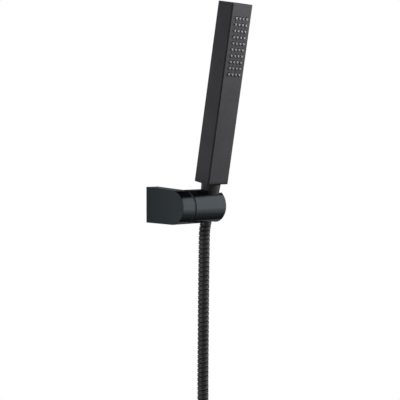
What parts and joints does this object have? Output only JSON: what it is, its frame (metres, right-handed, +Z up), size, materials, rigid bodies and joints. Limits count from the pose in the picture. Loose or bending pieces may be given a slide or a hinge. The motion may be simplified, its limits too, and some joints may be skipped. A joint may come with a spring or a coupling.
{
  "type": "wall-held hand shower",
  "caption": "Rectangular stick hand shower in a friction-held wall holder, with tapered hose nut and a ribbed hose.",
  "frame": {"origin": "on the wall face of the bracket, level with the barrel's axis and 12 mm in from the block's free side", "axes": "+Y into the wall, -Y into the room, +Z up, +X along the barrel from the block to the hose slot"},
  "size_m": [0.2036, 0.1148, 0.7468],
  "materials": {
    "steel": "plain stainless",
    "bracket_black": "satin black, slightly cool",
    "handset_black": "matt black powder coat",
    "nut_black": "matt black",
    "acetal": "natural acetal",
    "liner_plastic": "moulded black",
    "regulator_plastic": "moulded blue",
    "nozzle_silicone": "pale grey silicone",
    "seal_rubber": "black EPDM",
    "brass": "turned",
    "hose_black": "satin black PVC over ribs",
    "tie_fabric": "woven hook-and-loop strap"
  },
  "bodies": {
    "wall_bracket": {"wall_plate": "steel", "housing": "bracket_black", "side_cap": "bracket_black", "grub_screw": "steel", "pivot_bush": "acetal", "friction_ring": "liner_plastic"},
    "holder": {"holder_barrel": "bracket_black", "seat_liner": "liner_plastic", "pivot_screw": "steel", "wave_washer": "steel", "thrust_washer": "acetal", "stop_pin": "steel"},
    "hose_top": {"upper_insert": "brass", "upper_ferrule": "hose_black"},
    "handset": {"handset_body": "handset_black", "top_cap": "handset_black", "inlet_fitting": "handset_black", "inlet_gasket": "seal_rubber", "nozzle_mat": "nozzle_silicone", "spray_chamber": "acetal", "chamber_screws": "steel", "water_tube": "acetal", "tube_seals": "seal_rubber", "cone_nut": "nut_black", "inlet_washer": "seal_rubber", "filter_screen": "steel", "flow_regulator": "regulator_plastic", "check_valve_body": "acetal", "check_spring": "steel"},
    "valve_poppet": {"check_poppet": "regulator_plastic"},
    "hose_drop": {"hose": "hose_black", "hose_coil": "hose_black", "hose_ties": "tie_fabric", "lower_ferrule": "hose_black", "lower_insert": "brass"},
    "hose_nut": {"end_nut": "nut_black", "end_washer": "seal_rubber"}
  },
  "joints": [
    {"name": "holder_tilt", "type": "hinge", "parent": "wall_bracket", "child": "holder", "pos_m": [0.0095, -0.05, 0], "axis": [1, 0, 0], "range_deg": [-18, 34]},
    {"name": "handset_lift", "type": "slide", "parent": "holder", "child": "hose_top", "axis": [0, -0.1908, 0.9816], "range_m": [0, 0.038]},
    {"name": "handset_swivel", "type": "hinge", "parent": "hose_top", "child": "handset", "pos_m": [0.0535, -0.05, 0], "axis": [0, -0.1908, 0.9816], "continuous": true},
    {"name": "valve_lift", "type": "slide", "parent": "handset", "child": "valve_poppet", "axis": [0, -0.1908, 0.9816], "range_m": [0, 0.003], "stiffness_N_per_m": 60, "springref_m": -0.001, "deforming": ["check_spring"]},
    {"name": "hose_hang", "type": "hinge", "parent": "hose_top", "child": "hose_drop", "pos_m": [0.0535, -0.0437, -0.032], "axis": [1, 0, 0], "range_deg": [-34, 18], "deforming": ["hose"]},
    {"name": "end_nut_spin", "type": "hinge", "parent": "hose_drop", "child": "hose_nut", "pos_m": [-0.04898, -0.073, -0.44134], "axis": [-0.1994, 0, -0.9799], "continuous": true}
  ],
  "couplings": [
    {"joint": "hose_hang", "follows": "holder_tilt", "ratio": -1}
  ]
}
